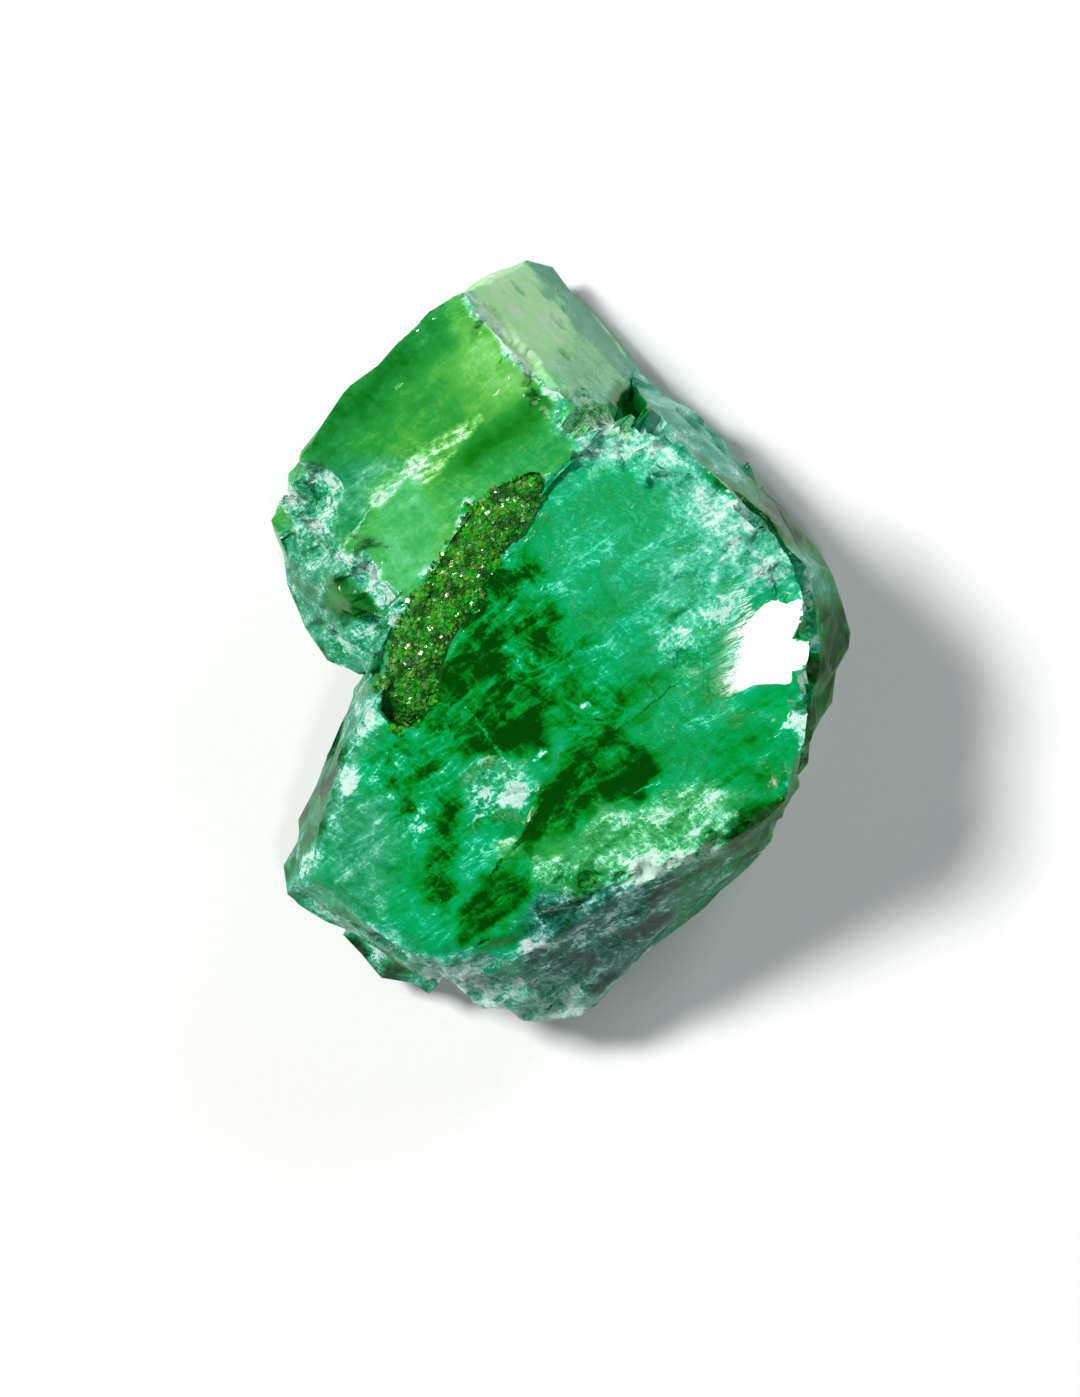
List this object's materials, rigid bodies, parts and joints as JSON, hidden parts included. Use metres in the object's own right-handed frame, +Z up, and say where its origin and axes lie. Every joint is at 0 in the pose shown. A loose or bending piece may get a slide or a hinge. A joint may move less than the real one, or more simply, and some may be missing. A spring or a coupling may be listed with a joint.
{
  "type": "fluorite crystal specimen",
  "caption": "Green fluorite hand specimen: tilted cube grown into a broad cleaved crystal, with a sugary crust in the gully between and a flat broken underside.",
  "frame": {"origin": "on the surface the specimen rests on, under the middle of its bounding box", "axes": "+Z up from the resting face, +Y along the longest extent towards the tilted cube's peak, +X to the right seen from above"},
  "size_m": [0.046, 0.0606, 0.027],
  "materials": {
    "clear_green": "translucent green, glassy on growth faces, frosted where broken",
    "golden_green_crust": "sugary, glinting"
  },
  "bodies": {
    "root": {"fluorite": "clear_green", "druse_crust": "golden_green_crust"}
  },
  "joints": []
}
